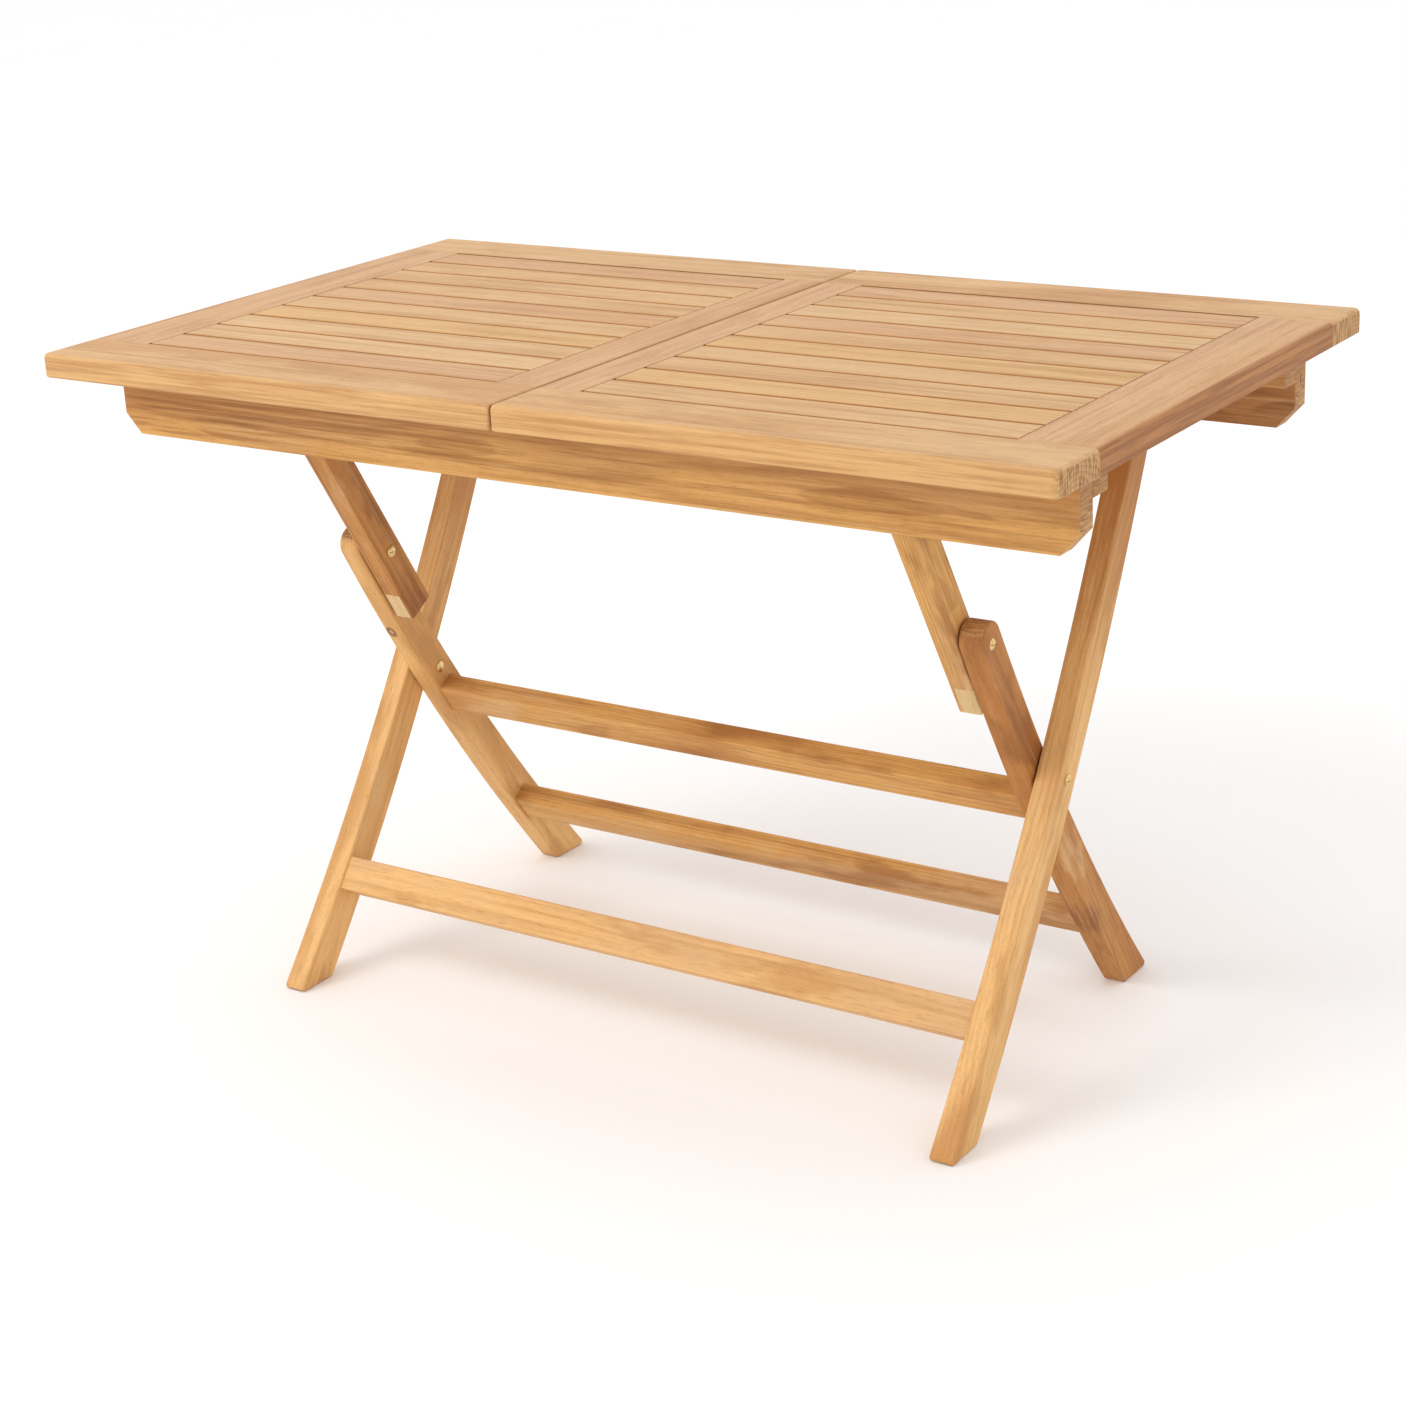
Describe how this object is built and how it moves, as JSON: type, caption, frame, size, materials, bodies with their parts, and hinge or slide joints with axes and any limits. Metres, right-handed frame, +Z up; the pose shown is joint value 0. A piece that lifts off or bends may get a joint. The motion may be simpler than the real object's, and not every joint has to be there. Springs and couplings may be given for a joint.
{
  "type": "folding picnic table",
  "caption": "Slatted hardwood table whose two crossed, curved leg frames and pair of knee struts fold up under the top.",
  "frame": {"origin": "on the floor under the middle of the tabletop, the table standing open", "axes": "+X along the tabletop, +Y across it towards the back, where the outer legs hang, +Z up"},
  "size_m": [1.2, 0.7, 0.75],
  "materials": {
    "teak_slats": "satin",
    "teak_rails": "satin",
    "teak_legs": "satin",
    "teak_understructure": "satin",
    "pale_hardwood": "satin",
    "dowel": "satin",
    "brass": "satin",
    "steel": "brushed"
  },
  "bodies": {
    "top": {"back_apron": "teak_understructure", "back_batten": "teak_understructure", "batten_screws": "steel", "cleat_screws": "steel", "frame_dowels": "dowel", "front_apron": "teak_understructure", "front_batten": "teak_understructure", "left_back_rail": "teak_rails", "left_centre_rail": "teak_rails", "left_end_rail": "teak_rails", "left_front_rail": "teak_rails", "left_leg_cleat": "teak_understructure", "left_slat_01": "teak_slats", "left_slat_02": "teak_slats", "left_slat_03": "teak_slats", "left_slat_04": "teak_slats", "left_slat_05": "teak_slats", "left_slat_06": "teak_slats", "left_slat_07": "teak_slats", "left_slat_08": "teak_slats", "left_slat_09": "teak_slats", "left_slat_10": "teak_slats", "left_strut_cleat": "teak_understructure", "right_back_rail": "teak_rails", "right_centre_rail": "teak_rails", "right_end_rail": "teak_rails", "right_front_rail": "teak_rails", "right_leg_cleat": "teak_understructure", "right_slat_01": "teak_slats", "right_slat_02": "teak_slats", "right_slat_03": "teak_slats", "right_slat_04": "teak_slats", "right_slat_05": "teak_slats", "right_slat_06": "teak_slats", "right_slat_07": "teak_slats", "right_slat_08": "teak_slats", "right_slat_09": "teak_slats", "right_slat_10": "teak_slats", "right_strut_cleat": "teak_understructure", "top_pivot_nuts": "brass", "top_pivot_screws": "brass", "top_pivot_washers": "brass"},
    "outer_frame": {"crossing_nuts": "brass", "crossing_screws": "brass", "crossing_washers": "brass", "left_outer_leg": "teak_legs", "outer_low_stretcher": "teak_legs", "right_outer_leg": "teak_legs"},
    "inner_frame": {"inner_low_stretcher": "teak_legs", "inner_middle_stretcher": "teak_legs", "knee_nuts": "brass", "knee_washers": "brass", "left_inner_leg": "teak_legs", "right_inner_leg": "teak_legs"},
    "left_strut_arm": {"left_knee_screw": "brass", "left_stop_block": "pale_hardwood", "left_strut": "teak_legs"},
    "right_strut_arm": {"right_knee_screw": "brass", "right_stop_block": "pale_hardwood", "right_strut": "teak_legs"}
  },
  "joints": [
    {"name": "leg_fold", "type": "hinge", "parent": "top", "child": "outer_frame", "pos_m": [0, 0.195, 0.675], "axis": [-1, 0, 0], "range_deg": [0, 48.5]},
    {"name": "crossing_fold", "type": "hinge", "parent": "outer_frame", "child": "inner_frame", "pos_m": [0, 0, 0.32], "axis": [-1, 0, 0], "range_deg": [0, 60.5]},
    {"name": "left_strut_fold", "type": "hinge", "parent": "top", "child": "left_strut_arm", "pos_m": [-0.3635, -0.2084, 0.675], "axis": [1, 0, 0], "range_deg": [0, 46.6]},
    {"name": "right_strut_fold", "type": "hinge", "parent": "top", "child": "right_strut_arm", "pos_m": [0.3635, -0.2084, 0.675], "axis": [1, 0, 0], "range_deg": [0, 46.6]}
  ],
  "couplings": [
    {"joint": "crossing_fold", "follows": "leg_fold", "ratio": 1.2443},
    {"joint": "left_strut_fold", "follows": "leg_fold", "ratio": 0.9588},
    {"joint": "right_strut_fold", "follows": "leg_fold", "ratio": 0.9588}
  ]
}
